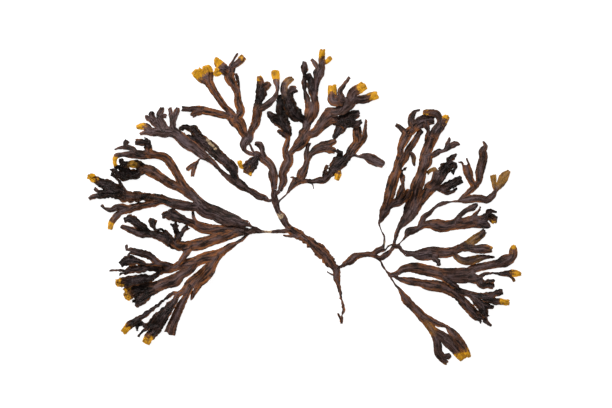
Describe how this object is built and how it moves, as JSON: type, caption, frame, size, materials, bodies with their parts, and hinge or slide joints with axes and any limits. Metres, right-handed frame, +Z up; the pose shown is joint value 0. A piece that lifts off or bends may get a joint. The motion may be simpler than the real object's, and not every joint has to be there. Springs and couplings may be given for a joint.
{
  "type": "dried fucus seaweed",
  "caption": "Dried brown seaweed lying flat: a thin stipe forks again and again into ribbed, strap-shaped blades with blunt, swollen amber tips.",
  "frame": {"origin": "the small flat spot under the stipe's first fork, on which the plant rests, near its weight", "axes": "+X to the right of the picture, +Y from the holdfast towards the blades, +Z up from the surface that it lies on"},
  "size_m": [0.3253, 0.2371, 0.0128],
  "materials": {
    "stipe_weed": "satin, slightly translucent at the edges",
    "frond_left_upper_weed": "satin, slightly translucent at the edges",
    "frond_left_middle_weed": "satin, slightly translucent at the edges",
    "frond_left_lower_weed": "satin, slightly translucent at the edges",
    "frond_upper_left_weed": "satin, slightly translucent at the edges",
    "frond_top_left_weed": "satin, slightly translucent at the edges",
    "frond_top_centre_weed": "satin, slightly translucent at the edges",
    "frond_centre_weed": "satin, slightly translucent at the edges",
    "frond_right_tall_first_weed": "satin, slightly translucent at the edges",
    "frond_right_tall_second_weed": "satin, slightly translucent at the edges",
    "frond_right_upper_weed": "satin, slightly translucent at the edges",
    "frond_right_flat_weed": "satin, slightly translucent at the edges",
    "frond_right_lower_first_weed": "satin, slightly translucent at the edges",
    "frond_right_lower_second_weed": "satin, slightly translucent at the edges",
    "frond_bottom_right_weed": "satin, slightly translucent at the edges"
  },
  "bodies": {
    "root": {"stipe": "stipe_weed", "frond_left_upper": "frond_left_upper_weed", "frond_left_middle": "frond_left_middle_weed", "frond_left_lower": "frond_left_lower_weed", "frond_upper_left": "frond_upper_left_weed", "frond_top_left": "frond_top_left_weed", "frond_top_centre": "frond_top_centre_weed", "frond_centre": "frond_centre_weed", "frond_right_tall_first": "frond_right_tall_first_weed", "frond_right_tall_second": "frond_right_tall_second_weed", "frond_right_upper": "frond_right_upper_weed", "frond_right_flat": "frond_right_flat_weed", "frond_right_lower_first": "frond_right_lower_first_weed", "frond_right_lower_second": "frond_right_lower_second_weed", "frond_bottom_right": "frond_bottom_right_weed"}
  },
  "joints": []
}
